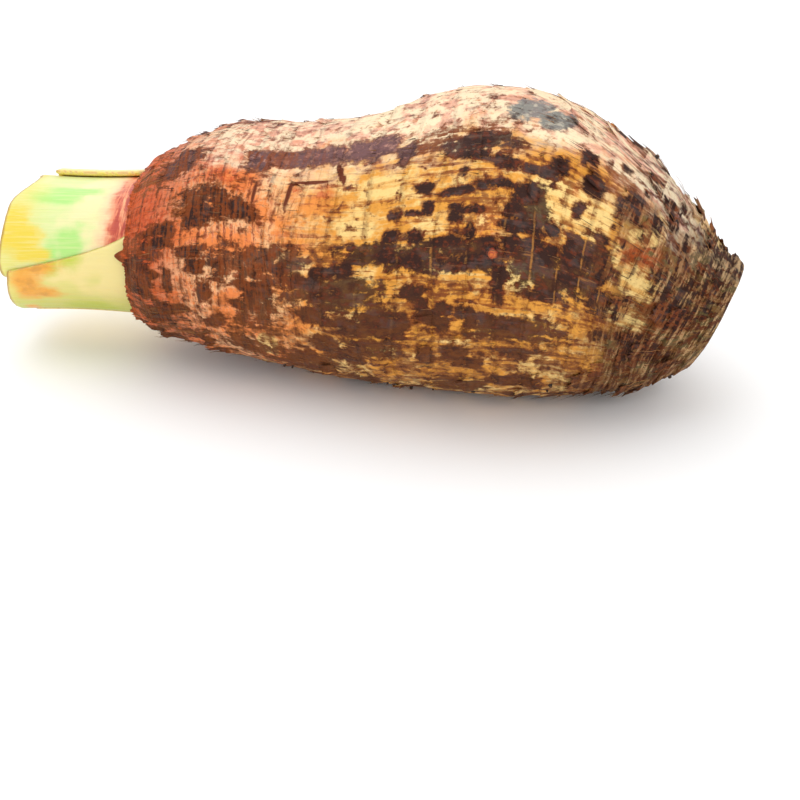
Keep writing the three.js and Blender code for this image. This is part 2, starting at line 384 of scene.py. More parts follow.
brownScales = [
    (126, 64, 7.6, 6.3, -8), (143, 69, 4.7, 3.3, 0), (152, 59, 4.9, 3.8, 15), (132, 4, 3.7, 3.0, 0),
    (206, 14, 6.9, 5.0, 0), (96, 20, 1.9, 5.5, 0), (3, 15, 9.0, 6.0, 0),
]
paleSkin = [
    (167, 41, 7.6, 9.8, 0), (179, 44, 6.6, 10.5, 0), (198, 26, 6.0, 6.5, 0), (161, 12, 5.3, 5.7, 0),
    (98, 31, 7.8, 5.0, 0), (146, 30, 2.0, 3.6, 0), (118, 65, 2.8, 1.9, 0), (199, 55, 2.4, 5.0, 0),
    (192, 80, 2.6, 4.8, 0), (189, 32, 1.3, 3.8, 0), (106, 46, 9.0, 5.0, 0), (195, 44, 5.0, 2.6, -35),
    (198, 9, 7.0, 4.0, 0),
]
redSkin = [
    (8, 38, 8.0, 15.7, 0), (19, 30, 6.6, 6.9, 0), (37, 55, 14.4, 10.4, 0), (72, 46, 2.6, 3.0, 0),
    (83, 46, 4.2, 3.2, 0), (96, 20, 1.9, 5.5, 0), (151, 18, 1.3, 1.4, 0), (196, 37, 6.5, 4.2, -20),
    (173, 48, 1.0, 2.5, 0), (148, 30, 4.4, 5.4, 0),
]
# pale pink marks on the top that widen the painted highlight there
pinkSheen = [(51, 88, 26.0, 12.0, 0), (86, 85, 18.0, 8.0, 0), (178, 80, 1.6, 5.5, 0), (185, 81, 4.3, 9.0, 0),
             (203, 73, 5.3, 4.4, 0)]
greyMould = [(155, 80, 5.9, 8.6, 22), (163, 76, 4.9, 6.6, 30)]
skinTears = [(55, 46, 0.7, 5.9, 0), (69, 44, 0.8, 7.2, 0), (77, 51, 9.5, 0.7, -3), (89, 54, 1.2, 5.3, -25)]
brownGround = [
    (125, 20, 17, 7, 0), (172, 24, 17, 12, 0), (136, 62, 17, 8, -4), (199, 48, 12, 12, 0),
    (213, 25, 12, 16, 0), (36, 38, 16, 8, -6), (11, 62, 12, 8, 0), (153, 14, 5, 12, 0), (122, -8, 22, 10, 0),
    (196, 5, 16, 12, 0), (163, 50, 12, 5, 8), (142, 36, 14, 11, 0), (187, 60, 8, 6, 0), (172, 8, 16, 8, 0),
    (134, 8, 14, 5, 0),
]  # broad stained ground between the scales
darkGround = [
    (138, 19, 19, 6, 0), (172, 17, 18, 9, 0), (162, 36, 5, 10, 0), (182, 26, 8, 8, 0), (108, -10, 12, 8, 0),
    (160, -8, 18, 6, 0), (140, 60, 14, 4, -4), (36, 40, 13, 5, -4), (20, 62, 9, 6, -15), (108, 19, 17, 5, 0),
    (213, 30, 5, 9, 0), (221, 50, 5, 14, 0), (206, 30, 5, 6, 0), (14, 20, 5, 7, 0), (60, 12, 22, 8, 0),
    (90, 4, 22, 7, 0), (136, 17, 24, 6, 0), (122, 17, 12, 5, 0),
]  # near-black husk
plaidSkin = [(172, 18, 22, 16, 0), (138, 20, 20, 10, 0)]  # where the rings' edges show through the husk
# marks strewn where the ones above don't reach: how many, seed, half lengths, half widths, least distance
bareSides = {
    "scales": (260, 11, (2, 8), (1.5, 5), 3), "brown": (44, 5, (6, 16), (4, 11), 3),
    "dark": (22, 8, (7, 15), (4, 9), 3), "pale": (34, 3, (3, 9), (3, 7), 40),
    "end": 226, "slant": 12, "turns": (-100, 260),
    # where the listed marks are placed
    "placedTurns": (0, 104), "placedTo": 208, "placedFrom": 92, "placedAbove": 22,
}


def strewn(kind):
    # scattered marks on the back, the belly and under the neck: even chances, less those on the placed side
    b = bareSides
    count, seed, longs, wides, least = b[kind]
    rng = np.random.default_rng(seed)
    distance = rng.uniform(least, b["end"], count * 2)
    turn = rng.uniform(*b["turns"], count * 2)
    placed = (turn > b["placedTurns"][0]) & (turn < b["placedTurns"][1]) & (distance < b["placedTo"])
    placed = placed & ((distance > b["placedFrom"]) | (turn > b["placedAbove"]))
    long = rng.uniform(*longs, count * 2)
    wide = rng.uniform(*wides, count * 2)
    slant = rng.uniform(-b["slant"], b["slant"], count * 2)
    return np.stack([distance, turn, long, wide, slant], -1)[~placed][:count].tolist()


def markField(marks, distance, angle, soft, across):
    # the highest of many rounded rectangles, each 1 inside and falling to 0 at its edge
    field = np.zeros(np.broadcast(distance, angle).shape)
    for at, turn, long, wide, slant in marks:
        x = distance - at
        y = turnFrom(angle, math.radians(turn)) * across
        c, s = math.cos(math.radians(slant)), math.sin(math.radians(slant))
        size = (np.abs((x * c - y * s) / long) ** 3 + np.abs((x * s + y * c) / wide) ** 3) ** (1 / 3)
        field = np.maximum(field, 1 - between(size, 1 - soft, 1 + soft))
    return field


skinMarks = {  # the marks, and how soft their edges are
    "darkScales": (darkScales + strewn("scales"), 0.6),
    "brownScales": (brownScales, 0.6),
    "brownGround": (brownGround + strewn("brown"), 0.6),
    "darkGround": (darkGround + strewn("dark"), 0.6),
    "paleSkin": (paleSkin + strewn("pale"), 0.5),
    "redSkin": (redSkin, 0.7),
    "pinkSheen": (pinkSheen, 0.8),
    "greyMould": (greyMould, 0.5),
    "skinTears": (skinTears, 0.5),
    "plaidSkin": (plaidSkin, 0.5),
}


def cormPiece(material):
    # rows of points along the length, closed by a pole in the collar and one in the cut tail
    parts = np.array(corm["parts"])
    ring = np.repeat(np.arange(rings), len(parts))[:, None]
    part = np.tile(parts, rings)[:, None]
    angle = (np.arange(corm["around"]) * 2 * pi / corm["around"])[None, :]
    closing = np.array(corm["collarShrinks"])[:, None]
    shrinks = np.array(corm["cutShrinks"])[:, None]
    saw = corm["sawn"] * np.sin(9 * shrinks * np.sin(angle + 0.4) + 2 * np.sin(4 * angle)) * (shrinks < 0.9)
    sunk = corm["cutSunk"] * between(1 - shrinks, 0, 0.16) + saw
    collar = skinPoint(np.array([[0]]), 0.0, angle, closing)
    skin = skinPoint(ring, part, angle)
    cut = skinPoint(np.array([[rings - 1]]), 1.0, angle, shrinks, sunk)
    points = np.concatenate([collar, skin, cut])
    rows, columns = points.shape[:2]

    distance = edges[ring] + part * (edges[ring + 1] - edges[ring])
    distance = np.concatenate([0 * closing, distance, 0 * shrinks + corm["length"]])
    count = np.concatenate([0 * closing, ring + part, 0 * shrinks + rings])
    onCut = np.concatenate([0 * closing, 0 * part, 1 - shrinks])
    fields = skinFields(distance, angle, count, onCut)
    towardsAxis = np.repeat(np.concatenate([closing, 0 * part + 1, shrinks]), columns)
    fields["skinPlace"] *= np.stack([towardsAxis, towardsAxis, np.ones(rows * columns)], -1)
    points, fields = addPoles(points, fields)
    fields["onCut"][-1] = 1
    return makePiece("cormSkin", points, closedFaces(rows, columns), material, "corm", fields)


def placeField(radius, angle, distance):
    # a point's place about the axis for a material: two ways across, and along
    place = np.broadcast_arrays(radius * np.cos(angle), radius * np.sin(angle), distance)
    return np.stack(place, -1).reshape(-1, 3)


def skinFields(distance, angle, count, onCut):
    # what the skin's material reads: its place unrolled to a cylinder, its ring, and the marks on it
    shape = np.broadcast(distance, angle).shape
    wandered = distance + wander(distance, angle)
    across = corm["belly"] * along(wandered / corm["length"], 1)
    place = placeField(corm["unrolled"], angle, distance)
    fields = {"skinPlace": place, "ringCount": np.broadcast_to(count, shape).ravel(),
              "onCut": np.broadcast_to(onCut, shape).ravel().astype(float)}
    for name, (marks, soft) in skinMarks.items():
        fields[name] = markField(marks, wandered, angle, soft, across).ravel()
    return fields


# low is painted shade for the underside; cream and pink paint the top's highlight
skinColours = {
    "tan": "#e39c3c", "tanPale": "#f8d488", "tanDeep": "#b5661a", "streak": "#7c3e12", "neck": "#f28a48",
    "neckPale": "#fec692", "neckRed": "#cc4c1a", "neckDark": "#6a240c", "scale": "#33180f",
    "scaleRed": "#6a2c10", "scaleGrey": "#7c5656", "scaleSheen": "#463c3a", "brown": "#7a3c14",
    "cream": "#fbe6c2", "pink": "#f0b49c", "blush": "#e09272", "mould": "#626b6e", "mouldPale": "#b4b2a2",
    "tail": "#8a6438", "tailPale": "#d2aa78", "tailDark": "#3a2014", "tailOlive": "#5e5230",
    "line": "#b87c38", "ground": "#8a4c16", "halo": "#8c4212", "low": "#7a4214",
    "cutRim": "#4a3222", "cutFlesh": "#c9ad86", "cutDry": "#8a6a4a",
}
skinGrains = {  # how many a millimetre across and along, detail, roughness, shift, warp
    "fibres": (0.6, 0.045, 4, 0.6, (0, 0, 0), 0),
    "fineFibres": (2.0, 0.11, 3, 0.6, (0, 0, 0), 0),
    "hoops": (0.08, 0.75, 4, 0.62, (4, 1, 2), 0),
    "clouds": (0.09, 0.06, 3, 0.5, (0, 0, 0), 0),
    "blots": (0.17, 0.15, 3, 0.55, (2, 6, 1), 0),
    "crumbs": (0.5, 0.42, 5, 0.62, (0, 0, 0), 0),
    "specks": (1.7, 1.7, 3, 0.6, (0, 0, 0), 0),
    "rags": (0.24, 0.2, 5, 0.62, (9, 2, 4), 0.4),
}
# where each kind of skin fades in or out, in millimetres along the root; top and low are heights on its side,
# where the painted highlight and the painted shade lie
skinZones = {
    "neck": (52, 100), "red": (10, 40), "tail": (178, 202), "rosy": (20, 95),
    "topFrom": (6, 42), "topTo": (203, 214), "greyFrom": (38, 58), "greyTo": (105, 140),
    "top": (38, 48), "low": (-22, 16),
}


def skinMaterial():
    # layer on layer: bare skin by zones, ring lines with painted shadow, the top painted pale as a highlight
    # with some real weathering, husk, mould, painted shade underneath, and the cut tail
    r = Recipe("cormSkin", skinColours)
    place = r.vectorField("skinPlace")
    count = r.field("ringCount")
    side, distance = r.parts(place)[1:]
    part = count % 1.0
    fibres, fineFibres, hoops, clouds, blots, crumbs, specks, rags = [
        r.grain(place, (across, across, lengthwise), detail, rough, shift, warp)
        for across, lengthwise, detail, rough, shift, warp in skinGrains.values()]

    neck = 1 - r.rise(distance + 20 * clouds, *skinZones["neck"])
    red = 1 - r.rise(distance, *skinZones["red"])
    tail = r.rise(distance + 24 * clouds, *skinZones["tail"])
    # top: high on the side, where a highlight is painted
    top = r.rise(side + 18 * clouds + 12 * rags, *skinZones["top"])
    # low: the underside, where shade is painted
    low = 1 - r.rise(side, *skinZones["low"])

    # bare skin: golden in the middle, orange and red at the neck, grey brown at the tail
    skin = r.paint("tan", "tanPale", r.rise(clouds + 0.8 * fibres + 0.5 * crumbs, -0.08, 0.16))
    skin = r.paint(skin, "tanDeep", 0.9 * r.rise(fibres + 0.5 * rags, -0.02, 0.14))
    skin = r.paint(skin, "streak", 0.7 * r.rise(fibres + 0.5 * fineFibres + 0.5 * rags, 0.06, 0.2))
    neckSkin = r.paint("neck", "neckPale", r.rise(clouds + 0.7 * crumbs + 0.6 * hoops, -0.12, 0.14))
    redRags = 0.7 * r.rise(crumbs + 0.9 * hoops, 0.02, 0.16)
    neckSkin = r.paint(neckSkin, "neckRed", r.most(0.8 * red, redRags))
    neckSkin = r.paint(neckSkin, "neckDark", 0.7 * r.rise(hoops + 0.5 * rags, 0.05, 0.18))
    skin = r.paint(skin, neckSkin, neck)
    tailSkin = r.paint("tail", "tailOlive", 0.85 * r.rise(blots + 0.5 * hoops, -0.06, 0.06))
    tailSkin = r.paint(tailSkin, "tailPale", 0.9 * r.rise(0.45 * crumbs + 0.25 * rags + hoops, 0.01, 0.11))
    tailSkin = r.paint(tailSkin, "tailDark", 0.95 * r.rise(0.8 * rags - hoops, 0.0, 0.1))
    tailSkin = r.paint(tailSkin, "scale", 0.9 * r.rise(rags + 0.6 * crumbs - 0.3 * hoops, 0.04, 0.12))
    skin = r.paint(skin, tailSkin, tail)
    paleColour = r.paint("tanPale", "tan", 0.6 * r.rise(fibres + 0.5 * crumbs, -0.04, 0.14))
    skin = r.paint(skin, paleColour, 0.9 * r.rise(r.field("paleSkin") + crumbs, 0.3, 0.7))
    skin = r.paint(skin, "neckRed", 0.75 * r.field("redSkin") * r.rise(crumbs, -0.15, 0.1))

    # rings: a dark line under each free edge, partly the husk's own dark edge and partly painted shadow under
    # the step, and finer ones between them at the neck
    ringLine = 1 - r.rise(part + 0.3 * crumbs, 0.03, 0.2)
    fineRings = r.rise((3.0 * count + 1.3 * rags + 0.3 * crumbs + 0.8) % 1.0, 0.45, 0.95)
    ringEdgeAndShadow = ringLine * (0.45 + 0.4 * neck + 0.4 * tail) * r.rise(rags + 0.4 * crumbs, -0.12, 0.06)
    skin = r.paint(skin, r.paint("brown", "tailDark", tail), ringEdgeAndShadow)
    fineShare = fineRings * (0.25 + 0.6 * neck) * r.rise(rags + 0.5 * crumbs, -0.1, 0.08)
    skin = r.paint(skin, "neckDark", 0.8 * fineShare)

    # painted highlight on the top, where the light falls: cream and pink, with real weathering in its brown
    # blots and dark dots
    sheenAndWearTop = r.paint("cream", "pink", r.rise(blots + 0.5 * crumbs, -0.06, 0.12))
    sheenAndWearTop = r.paint(sheenAndWearTop, "tanDeep", 0.5 * r.rise(crumbs + 0.7 * fibres, 0.04, 0.18))
    rosy = 1 - r.rise(distance, *skinZones["rosy"])
    sheenAndWearTop = r.paint(sheenAndWearTop, "blush", 0.75 * rosy * r.rise(blots + crumbs + 0.8 * hoops, -0.15, 0.15))
    sheenAndWearTop = r.paint(sheenAndWearTop, "neckDark", 0.5 * rosy * r.rise(hoops + 0.6 * rags, 0.05, 0.16))
    sheenAndWearTop = r.paint(sheenAndWearTop, "scaleGrey", (0.3 + 0.55 * tail) * r.rise(rags + 0.6 * blots, 0.01, 0.12))
    sheenAndWearTop = r.paint(sheenAndWearTop, "scale", (0.15 + 0.75 * tail) * r.rise(crumbs + 0.5 * rags, 0.06, 0.16))
    # the painted highlight shows on the top and on the pink sheen marks, and fades out towards both ends
    shown = r.most(top, 0.9 * r.field("pinkSheen")) * r.rise(distance + 14 * clouds, *skinZones["topFrom"])
    shown = shown * (1 - 0.8 * r.rise(distance + 16 * rags, *skinZones["topTo"]))
    skin = r.paint(skin, sheenAndWearTop, 0.85 * shown)

    # the colours of the husk that is left on the skin, with the rings' edges showing through
    scaleColour = r.paint("scale", "scaleRed", r.rise(crumbs + 0.6 * fibres + 0.5 * blots, -0.02, 0.2))
    scaleColour = r.paint(scaleColour, "scaleSheen", 0.6 * r.rise(blots + 0.5 * fibres, 0.02, 0.14))
    # painted light: high on the side the husk turns greyer and pinker, as where light grazes it
    grey = r.rise(side + 10 * clouds, 38, 45) * r.rise(distance, *skinZones["greyFrom"], 0.5, 1.0)
    grey = grey * (1 - r.rise(distance, *skinZones["greyTo"]))
    grazeLitHusk = r.paint("scaleGrey", "pink", 0.5 * r.rise(crumbs + 0.6 * rags, 0.02, 0.18))
    grazeLitHusk = r.paint(grazeLitHusk, "scale", 0.4 * r.rise(rags + 0.6 * fibres, -0.02, 0.12))
    scaleColour = r.paint(scaleColour, grazeLitHusk, 0.85 * grey)
    scaleColour = r.paint(scaleColour, "halo", 0.75 * neck * r.rise(hoops + 0.5 * crumbs, -0.1, 0.08))
    fromEdge = abs(part - 0.06 + 0.12 * crumbs)
    lines = r.most(1 - r.rise(fromEdge, 0.01, 0.06), 0.8 * r.rise(fibres, 0.08, 0.18))
    lines = lines * r.rise(blots + 0.5 * crumbs, -0.06, 0.1) * (0.12 + 0.65 * r.field("plaidSkin"))
    scaleColour = r.paint(scaleColour, "line", lines)

    # where the husk is: dark scales on stained ground, and loose crumbs of it all over
    ragged = 2.1 * rags + crumbs + 0.7 * fibres
    ground = r.rise(r.field("brownGround") + ragged, 0.3, 0.8)
    scales = r.rise(r.field("darkScales") + 1.15 * ragged, 0.3, 0.72)
    brown = r.rise(r.field("brownScales") + ragged, 0.3, 0.75)
    dark = r.rise(r.field("darkGround") + 1.2 * ragged, 0.32, 0.78)
    crumbled = rags + 0.6 * crumbs + 0.35 * fibres
    # loose crumbs lean to the underside and away from the top, adding to the painted shade and highlight
    # there
    loose = r.rise(crumbled + 0.05 * tail + 0.04 * low - 0.08 * top - 0.05 * neck, 0.06, 0.2)
    husk = r.most(scales, 0.92 * dark) * (1 - 0.85 * tail * r.rise(hoops + 0.5 * crumbs, -0.04, 0.08))
    calm = 1 - 0.6 * tail
    skin = r.paint(skin, "ground", 0.85 * calm * ground * r.rise(crumbs + 0.8 * fibres, -0.14, 0.06))
    skin = r.paint(skin, "brown", 0.8 * brown * r.rise(fibres + crumbs, -0.25, 0.05))
    skin = r.paint(skin, "halo", 0.75 * calm * r.rise(r.field("darkScales") + ragged, 0.05, 0.5))
    skin = r.paint(skin, "streak", 0.75 * calm * loose * (1 - 0.5 * neck))
    skin = r.paint(skin, scaleColour, husk)
    skin = r.paint(skin, "scaleRed", r.rise(r.field("skinTears"), 0.25, 0.7))
    mouldColour = r.paint("mould", "mouldPale", r.rise(crumbs, 0.0, 0.16))
    mouldColour = r.paint(mouldColour, "scale", 0.6 * r.rise(rags, 0.04, 0.12))
    skin = r.paint(skin, mouldColour, 0.85 * r.rise(r.field("greyMould") + 0.8 * ragged, 0.3, 0.7))
    # painted shade: the underside darkened towards brown
    undersideShade = r.paint("low", "scale", 0.6 * r.rise(crumbs + 0.7 * fibres, 0.0, 0.12))
    skin = r.paint(skin, undersideShade, 0.7 * low * calm * r.rise(rags, -0.16, 0.08))

    # the cut tail: a dark rim round dry flesh with darker patches and threads
    cut = r.field("onCut")
    flesh = r.paint("cutFlesh", "cutDry", r.rise(crumbs + 0.5 * specks, -0.08, 0.12))
    flesh = r.paint(flesh, "cutDry", 0.75 * r.rise(rags + 0.8 * blots - 0.3 * cut, -0.12, 0.0))
    flesh = r.paint(flesh, "cutRim", 0.6 * r.rise(specks + 0.5 * rags, 0.08, 0.18))
    flesh = r.paint("cutRim", flesh, r.rise(cut + 0.06 * crumbs, 0.07, 0.13))
    skin = r.paint(skin, flesh, r.rise(cut, 0.01, 0.04))

    rough = 0.5 + 0.15 * husk + 0.14 * tail + 0.2 * crumbs
    height = (0.3 * husk + 0.2 * brown + 0.3 * fineFibres + 0.6 * fibres + 0.8 * crumbs
              - 0.5 * fineRings * neck - 0.6 * ringLine - 0.4 * r.field("skinTears")
              + (0.8 * neck + 3.2 * tail) * hoops)
    return r.finish(skin, rough, height, 1.0, Specular_IOR_Level=0.22)


# Dry husk that stands off at the rings' free edges

huskFlakes = {
    "perRing": 9, "collar": 54,  # how many at each ring, and round the collar
    "long": (1.5, 6.0), "wide": (2.0, 6.5), "lift": (0.1, 0.9), "thick": 0.2,
    "under": 1.2, "foot": 0.12,  # how far under the ring's edge they start, and how high
    "collarLong": 0.4, "collarLower": 0.8,  # round the collar: share of the length, and lift taken off
    "rows": 6, "columns": 11, "seed": 31,
    "flatFrom": 18, "flatter": 0.6,  # from this ring on they lie flatter, by this share
    "brownFrom": (17, 20), "darkShare": 0.55,  # rings where they turn brown, and how dark they get
}
# ring, turn, length, half width, lift
setFlakes = [(0, 14, 4.5, 4.0, 0.2), (9, 52, 5, 4, 0.8), (7, 47, 5, 3, 0.9)]


def sheetFaces(rows, columns):
    # a thin closed sheet: a grid, the same grid turned over below it, and a strip round their edges
    upper = gridFaces(rows, columns, False)
    below = rows * columns
    grid = np.arange(below).reshape(rows, columns)
    rim = np.concatenate([grid[0, :-1], grid[:-1, -1], grid[-1, :0:-1], grid[:0:-1, 0]])
    after = np.roll(rim, -1)
    strip = np.stack([rim, after, after + below, rim + below], -1)
    return np.concatenate([upper, upper[:, ::-1] + below, strip])


def manyFaces(faces, corners, count):
    # the same faces for each of many shapes that have so many corners
    return (faces[None] + corners * np.arange(count)[:, None, None]).reshape(-1, faces.shape[1]).tolist()


def flakePiece(material):
    # torn sheets that start under a ring's edge and lift towards their loose end, coloured as the skin
    h = huskFlakes
    rng = np.random.default_rng(h["seed"])
    few = h["collar"]
    ring = np.concatenate([[f[0] for f in setFlakes], np.repeat(np.arange(1, rings - 1), h["perRing"]),
                           np.zeros(few, int)])
    total, some = len(ring), len(setFlakes)
    turn = np.radians(rng.uniform(-60, 240, total))
    turn[-few:] = (np.arange(few) + rng.uniform(-0.3, 0.3, few)) * 2 * pi / few
    long, wide, lift = [rng.uniform(*h[key], total) for key in ("long", "wide", "lift")]
    long[-few:] *= h["collarLong"]
    lift[-few:] -= h["collarLower"]
    turn[:some], long[:some], wide[:some], lift[:some] = np.array([f[1:] for f in setFlakes]).T
    turn[:some] = np.radians(turn[:some])
    ring, turn, long, wide, lift = [v[:, None, None] for v in (ring, turn, long, wide, lift)]
    out = np.linspace(1, 0, h["rows"])[None, :, None]  # 1 at the loose end
    side = np.linspace(-1, 1, h["columns"])[None, None, :]
    teeth = rng.uniform(0.45, 1, (total, 1, h["columns"]))
    teeth[:some] = 1.05 - np.abs(side) ** 1.6
    distance = edges[ring] + h["under"] - out * (h["under"] + long * teeth)
    part = (distance - edges[ring]) / (edges[ring + 1] - edges[ring])
    across = corm["belly"] * along(np.clip(distance / corm["length"], 0, 1), 1)
    angle = turn + side * wide / across * (1 - 0.25 * out) + rng.uniform(-0.02, 0.02, (total, 1, 1)) * out
    curl = rng.uniform(-0.3, 0.5, (total, 1, 1)) * side**2 + rng.uniform(-0.1, 0.25, teeth.shape)
    raised = h["foot"] + out**1.5 * (lift + curl) * (1 - h["flatter"] * (ring > h["flatFrom"]))
    upper = skinPoint(ring, part, angle, lift=raised)
    lower = skinPoint(ring, part, angle, lift=raised - h["thick"] * (1 - 0.6 * out))
    points = np.stack([upper, lower], 1).reshape(-1, 3)
    faces = manyFaces(sheetFaces(h["rows"], h["columns"]), 2 * h["rows"] * h["columns"], total)
    fields = skinFields(distance, angle, ring + np.clip(part, 0.3, 1) + 0 * angle, 0)
    nearTail = (between(ring, *h["brownFrom"]) + 0 * angle).ravel()
    fields["brownScales"] = np.maximum(fields["brownScales"], nearTail)
    fields["darkScales"] = np.maximum(fields["darkScales"], h["darkShare"] * nearTail)
    shape = angle.shape
    fields = {name: np.stack([v.reshape(shape + v.shape[1:])] * 2, 1).reshape((-1,) + v.shape[1:])
              for name, v in fields.items()}
    makePiece("huskFlakes", points, faces, material, None, fields)
    print("husk flakes made,", total)


# Dry fibres at the rings' edges

huskFibres = {
    "perRing": 64, "long": (2.0, 9.0), "lift": (0.0, 1.3), "thick": (0.07, 0.16), "rows": 6, "seed": 47,
    "under": 1.0, "foot": 0.05,  # how far under the ring's edge they start, and how high
    "drift": 0.14,  # share of the length by which the loose end swings aside
    "colours": {"dark": "#3e2010", "pale": "#a8703a"},
}


def tubeFaces(rows, sides, count):
    # closed tubes of so many rows, each a loop of sides, with a flat lid at both ends
    last = (rows - 1) * sides
    fan = range(1, sides - 1)
    lids = [[0, i, i + 1] for i in fan] + [[last, last + i + 1, last + i] for i in fan]
    corners = rows * sides
    return manyFaces(gridFaces(rows, sides, True), corners, count) + manyFaces(np.array(lids), corners, count)


def fibrePiece(material):
    # each is a triangle's section drawn along a bent line that leaves the skin
    h = huskFibres
    rng = np.random.default_rng(h["seed"])
    ring = np.repeat(np.arange(1, rings - 2), h["perRing"])[:, None, None]
    total = len(ring)
    turn = np.radians(rng.uniform(-70, 250, (total, 1, 1)))
    long, lift, thick = [rng.uniform(*h[key], (total, 1, 1)) for key in ("long", "lift", "thick")]
    ends = between(np.abs(edges[ring] - 0.45 * corm["length"]), 40, 90)
    long = long * (0.5 + 0.5 * ends)
    out = np.linspace(1, 0, h["rows"])[None, :, None]
    distance = edges[ring] + h["under"] - long * out
    part = (distance - edges[ring]) / (edges[ring + 1] - edges[ring])
    across = corm["belly"] * along(np.clip(distance / corm["length"], 0, 1), 1)
    drift = rng.uniform(-h["drift"], h["drift"], total)[:, None, None] * long * out**1.4
    corner = np.array([0, 1, 2])[None, None, :]
    thin = thick * (1 - 0.8 * out)
    sideways = thin * np.where(corner == 1, 0, corner - 1)
    angle = turn + (drift + sideways) / across
    raised = h["foot"] + lift * out**1.7 + thin * np.where(corner == 1, 1.6, 0)
    points = skinPoint(ring, part + 0 * angle, angle, lift=raised).reshape(-1, 3)
    shade = np.broadcast_to(rng.uniform(0, 1, (total, 1, 1)), angle.shape).ravel()
    makePiece("huskFibres", points, tubeFaces(h["rows"], 3, total), material, None, {"shade": shade})
    print("husk fibres made,", total)


def fibreMaterial():
    # each fibre has its own shade
    r = Recipe("huskFibres", huskFibres["colours"])
    shade = r.field("shade")
    return r.finish(r.paint("dark", "pale", r.rise(shade, 0.3, 1.0)), 0.75 - 0.2 * shade)


# Root stubs and bud tips

rootStubs = {
    "strewn": 46, "from": (60, 226), "turns": (126, 320), "radius": (0.4, 0.9), "high": (0.5, 1.6),
    "sides": 10, "uneven": 0.06, "seed": 5, "colours": {"dark": "#2c1a12", "pale": "#6a4626"},
    # height and width of each row, in shares
    "profile": [(-0.3, 1.35), (0.05, 1.1), (0.3, 0.92), (0.65, 0.85), (0.85, 0.72), (0.97, 0.45),
                (0.94, 0.2)],
}
setStubs = [(192, 108, 0.9, 1.4), (215, 88, 0.9, 1.2), (203, 66, 0.8, 0.9)]  # distance, turn, radius, height
budTips = {
    "radius": 2.4, "high": 1.7, "sides": 28, "rows": 12,
    "colours": {"dark": "#3a1c10", "orange": "#c8641c", "red": "#94330f"},
}
setBuds = [(150, 19), (122, 152), (171, 228), (66, 192), (96, 262)]  # distance, turn


def skinFrame(distance, angle):
    # the point of the skin there, and three directions: out of it, along it and round it
    ring = np.clip(np.searchsorted(edges, distance, side="right") - 1, 0, rings - 1)
    part = (distance - edges[ring]) / (edges[ring + 1] - edges[ring])
    at = skinPoint(ring, part, angle)
    across = skinPoint(ring, part, angle + 0.03) - skinPoint(ring, part, angle - 0.03)
    ahead = skinPoint(ring, part + 0.2, angle) - skinPoint(ring, part - 0.2, angle)
    out = np.cross(ahead, across)
    out /= np.linalg.norm(out, axis=-1, keepdims=True)
    ahead /= np.linalg.norm(ahead, axis=-1, keepdims=True)
    return at, out, ahead, np.cross(out, ahead)


def knobs(distance, turn, radius, high, profile, sides):
    # turned shapes that stand on the skin: profile is (height, width) from the skin to the tip
    at, out, ahead, across = [v[:, None, None, :] for v in skinFrame(distance, np.radians(turn))]
    turn = (np.arange(sides) * 2 * pi / sides)[None, None, :, None]
    rise = profile[None, :, 0, None, None] * high[:, None, None, None]
    width = profile[None, :, 1, None, None] * radius[:, None, None, None]
    return at + out * rise + width * (np.cos(turn) * ahead - np.sin(turn) * across)


def knobPiece(name, points, material, field, values):
    # nothing reaches under the table; the field's values go from the skin to the tip
    count, rows, sides = points.shape[:3]
    flat = points.reshape(-1, 3)
    flat[:, 2] = np.maximum(flat[:, 2], 0.02)
    shade = np.broadcast_to(values[None, :, None], points.shape[:3]).ravel()
    makePiece(name, flat, tubeFaces(rows, sides, count), material, None, {field: shade})


def stubPiece(material):
    # the placed stubs, and others strewn on the back and the belly
    h = rootStubs
    rng = np.random.default_rng(h["seed"])
    fixed = np.array(setStubs)
    spans = (h["from"], h["turns"], h["radius"], h["high"])
    distance, turn, radius, high = [np.concatenate([fixed[:, i], rng.uniform(*span, h["strewn"])])
                                    for i, span in enumerate(spans)]
    profile = np.array(h["profile"])
    points = knobs(distance, turn, radius, high, profile, h["sides"])
    points = points + rng.uniform(-h["uneven"], h["uneven"], points.shape)
    knobPiece("rootStubs", points, material, "toEnd", profile[:, 0])


def stubMaterial():
    # paler towards the end
    r = Recipe("rootStubs", rootStubs["colours"])
    grain = r.grain(r.node("ShaderNodeTexCoord", output=3), (900, 900, 900), 3, 0.6)
    colour = r.paint("dark", "pale", r.rise(r.field("toEnd") + 0.6 * grain, 0.6, 1.1))
    return r.finish(colour, 0.7 + 0.2 * grain, grain, 0.3)


def budPiece(material):
    # a dome: a sine's quarter high, a cosine's quarter wide
    h = budTips
    distance, turn = np.array(setBuds, float).T
    radius = h["radius"] * (1 - 0.04 * np.arange(len(distance)))
    steps = np.linspace(0, 1, h["rows"])
    high = 1.25 * np.sin(steps * pi / 2) ** 1.2 - 0.25
    profile = np.stack([high, np.cos(steps * pi / 2 * 0.97) ** 0.8], -1)
    points = knobs(distance, turn, radius, radius * h["high"] / h["radius"], profile, h["sides"])
    knobPiece("budTips", points, material, "toTip", steps)


def budMaterial():
    # orange towards the tip, with red flecks
    r = Recipe("budTips", budTips["colours"])
    grain = r.grain(r.node("ShaderNodeTexCoord", output=3), (500, 900, 900), 4, 0.6)
    colour = r.paint("dark", "orange", r.rise(r.field("toTip") + 0.8 * grain, 0.4, 0.85))
    colour = r.paint(colour, "red", r.rise(grain, -0.04, 0.1))
    return r.finish(colour, 0.55 + 0.2 * grain, grain, 0.5)


# The leaf stalks, from the outermost to the innermost: crescents round each other, as in the solid

bundle = {"radius": 30.7, "length": 57.5, "drop": 3.5, "gap": 0.5, "edge": 0.95, "trimFrom": 22, "trimTo": 29}
